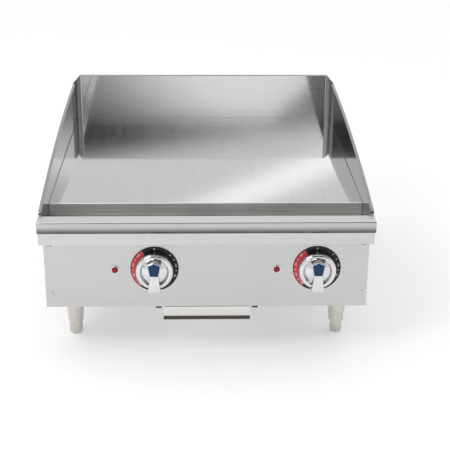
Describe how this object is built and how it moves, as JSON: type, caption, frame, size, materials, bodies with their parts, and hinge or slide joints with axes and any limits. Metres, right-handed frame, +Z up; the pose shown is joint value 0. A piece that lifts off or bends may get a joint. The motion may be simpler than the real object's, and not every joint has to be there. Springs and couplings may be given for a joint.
{
  "type": "flat top griddle",
  "caption": "Electric countertop griddle: solid plate inside a wrap-round splash guard, front grease trough and drawer, dial thermostats, pilot lamps and adjustable legs.",
  "frame": {"origin": "centre of the footprint, on the counter under the feet", "axes": "+Z up, +Y from the control panel to the back, +X to the right of a person at the control panel"},
  "size_m": [0.6096, 0.727, 0.3625],
  "materials": {
    "plate_steel": "ground steel plate, polished to soft reflections",
    "guard_steel": "stainless steel, fine horizontal brushing",
    "nosing_steel": "stainless steel, brushed along its length",
    "trough_steel": "stainless steel, brushed",
    "panel_steel": "stainless steel, brushed along its length",
    "side_steel": "stainless steel, brushed",
    "rear_steel": "galvanised sheet",
    "base_steel": "galvanised sheet",
    "drawer_steel": "stainless steel, brushed",
    "rail_steel": "zinc-plated sheet",
    "knob_chrome": "bright chrome plating",
    "insert_blue": "gloss blue plastic",
    "dial_enamel": "black enamel with a red band and light figures",
    "lens_red": "clear red plastic lens",
    "lamp_chrome": "bright plated bezel",
    "leg_metal": "satin plated metal",
    "foot_metal": "satin plated metal",
    "screw_steel": "plain stainless steel",
    "element_metal": "dark heat-coloured alloy tube",
    "clamp_steel": "plain mill-finish steel",
    "insulation": "mineral-fibre blanket",
    "thermostat_body": "moulded phenolic",
    "shaft_steel": "plated steel",
    "copper_capillary": "copper tube",
    "terminal_ceramic": "unglazed ceramic",
    "wire_sleeve": "glass-fibre sleeved wire",
    "inlet_metal": "cast zinc"
  },
  "bodies": {
    "cabinet": {"base_pan": "base_steel", "clamp_bars": "clamp_steel", "clamp_studs": "screw_steel", "conduit_fitting": "inlet_metal", "control_panel": "panel_steel", "control_panel_screws": "screw_steel", "dial_plate_left": "dial_enamel", "dial_plate_right": "dial_enamel", "drain_chute": "trough_steel", "drawer_rail_left": "rail_steel", "drawer_rail_right": "rail_steel", "front_nosing": "nosing_steel", "grease_trough": "trough_steel", "griddle_plate": "plate_steel", "heat_shield": "base_steel", "heating_element_left": "element_metal", "heating_element_right": "element_metal", "insulation_blanket": "insulation", "lamp_housing_left": "lamp_chrome", "lamp_housing_right": "lamp_chrome", "lamp_lens_left": "lens_red", "lamp_lens_right": "lens_red", "leg_front_left": "leg_metal", "leg_front_right": "leg_metal", "leg_nuts": "screw_steel", "leg_rear_left": "leg_metal", "leg_rear_right": "leg_metal", "rear_panel": "rear_steel", "rear_panel_screws": "screw_steel", "side_panel_left": "side_steel", "side_panel_right": "side_steel", "side_panel_screws": "screw_steel", "splash_guard": "guard_steel", "support_rail_left": "base_steel", "support_rail_right": "base_steel", "temperature_sensor_left": "copper_capillary", "temperature_sensor_right": "copper_capillary", "terminal_block": "terminal_ceramic", "thermostat_left": "thermostat_body", "thermostat_nuts": "screw_steel", "thermostat_right": "thermostat_body", "wiring": "wire_sleeve"},
    "knob_left": {"knob_left": "knob_chrome", "knob_insert_left": "insert_blue", "thermostat_shaft_left": "shaft_steel"},
    "knob_right": {"knob_right": "knob_chrome", "knob_insert_right": "insert_blue", "thermostat_shaft_right": "shaft_steel"},
    "drawer": {"grease_drawer": "drawer_steel"},
    "foot_front_left": {"foot_front_left": "foot_metal"},
    "foot_front_right": {"foot_front_right": "foot_metal"},
    "foot_rear_left": {"foot_rear_left": "foot_metal"},
    "foot_rear_right": {"foot_rear_right": "foot_metal"}
  },
  "joints": [
    {"name": "knob_left_turn", "type": "hinge", "parent": "cabinet", "child": "knob_left", "pos_m": [-0.0956, -0.3315, 0.1783], "axis": [0, 1, 0], "range_deg": [0, 300]},
    {"name": "knob_right_turn", "type": "hinge", "parent": "cabinet", "child": "knob_right", "pos_m": [0.2016, -0.3315, 0.1783], "axis": [0, 1, 0], "range_deg": [0, 300]},
    {"name": "drawer_slide", "type": "slide", "parent": "cabinet", "child": "drawer", "axis": [0, -1, 0], "range_m": [0, 0.28]},
    {"name": "foot_front_left_height", "type": "slide", "parent": "cabinet", "child": "foot_front_left", "axis": [0, 0, -1], "range_m": [0, 0.02]},
    {"name": "foot_front_right_height", "type": "slide", "parent": "cabinet", "child": "foot_front_right", "axis": [0, 0, -1], "range_m": [0, 0.02]},
    {"name": "foot_rear_left_height", "type": "slide", "parent": "cabinet", "child": "foot_rear_left", "axis": [0, 0, -1], "range_m": [0, 0.02]},
    {"name": "foot_rear_right_height", "type": "slide", "parent": "cabinet", "child": "foot_rear_right", "axis": [0, 0, -1], "range_m": [0, 0.02]}
  ]
}
